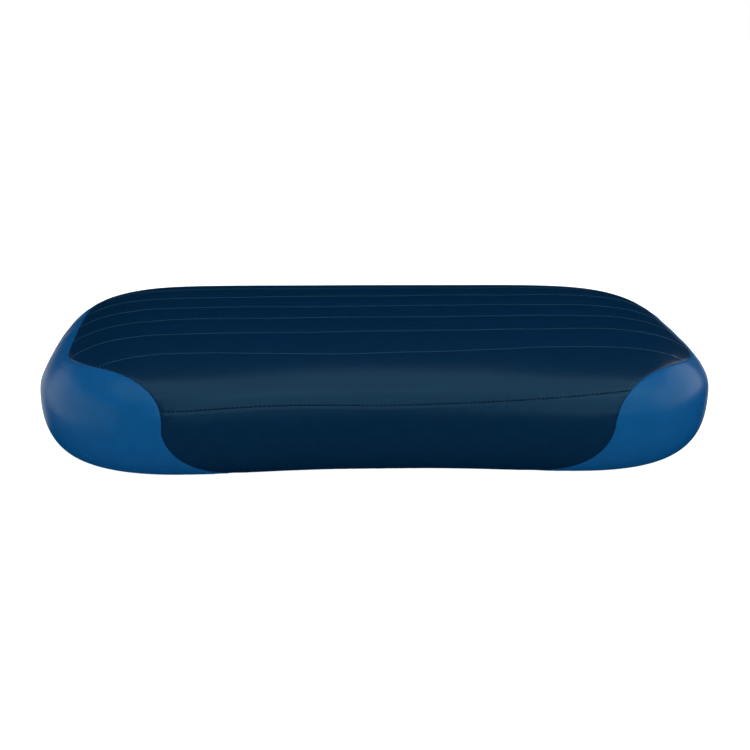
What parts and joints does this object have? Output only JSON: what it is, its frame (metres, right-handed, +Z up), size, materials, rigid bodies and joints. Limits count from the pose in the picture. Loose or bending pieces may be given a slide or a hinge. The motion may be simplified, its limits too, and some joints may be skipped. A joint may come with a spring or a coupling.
{
  "type": "camp pillow",
  "caption": "Inflatable camp pillow with a quilted knit cover, padded top, scalloped neck side, internal baffles and a two-stage air valve at the rear.",
  "frame": {"origin": "on the floor, at the middle of the outer box's underside", "axes": "+X along the pillow's length, -Y towards the scalloped neck side, +Z up"},
  "size_m": [0.56, 0.3584, 0.112],
  "materials": {
    "navy_knit": "matte",
    "blue_knit": "matte",
    "wadding": "matte",
    "bladder_film": "satin",
    "grip_patch": "matte",
    "valve_body": "satin",
    "valve_cap": "satin",
    "silicone": "satin"
  },
  "bodies": {
    "pillow": {"cover_top_panel": "navy_knit", "cover_front_band": "navy_knit", "cover_rear_band": "navy_knit", "cover_left_end_panel": "blue_knit", "cover_right_end_panel": "blue_knit", "cover_base_panel": "blue_knit", "top_wadding": "wadding", "bladder_top_film": "bladder_film", "bladder_base_film": "bladder_film", "bladder_baffle_1": "bladder_film", "bladder_baffle_2": "bladder_film", "bladder_baffle_3": "bladder_film", "bladder_baffle_4": "bladder_film", "bladder_baffle_5": "bladder_film", "bladder_baffle_6": "bladder_film", "bladder_baffle_7": "bladder_film", "grip_patch_1": "grip_patch", "grip_patch_2": "grip_patch", "grip_patch_3": "grip_patch", "grip_patch_4": "grip_patch", "valve_base": "valve_body", "valve_tether_ring": "valve_body"},
    "plug": {"deflate_plug": "valve_body"},
    "cap": {"inflate_cap": "valve_cap"},
    "release": {"release_button": "valve_cap", "flap_diaphragm": "silicone"}
  },
  "joints": [
    {"name": "plug_hinge", "type": "hinge", "parent": "pillow", "child": "plug", "pos_m": [0.126, 0.17394, 0.0744], "axis": [1, 0, 0], "range_deg": [0, 150]},
    {"name": "cap_hinge", "type": "hinge", "parent": "plug", "child": "cap", "pos_m": [0.1417, 0.17654, 0.054], "axis": [0, 0, -1], "range_deg": [0, 165]},
    {"name": "release_slide", "type": "slide", "parent": "plug", "child": "release", "axis": [0, -1, 0], "range_m": [0, 0.0025], "stiffness_N_per_m": 150}
  ]
}
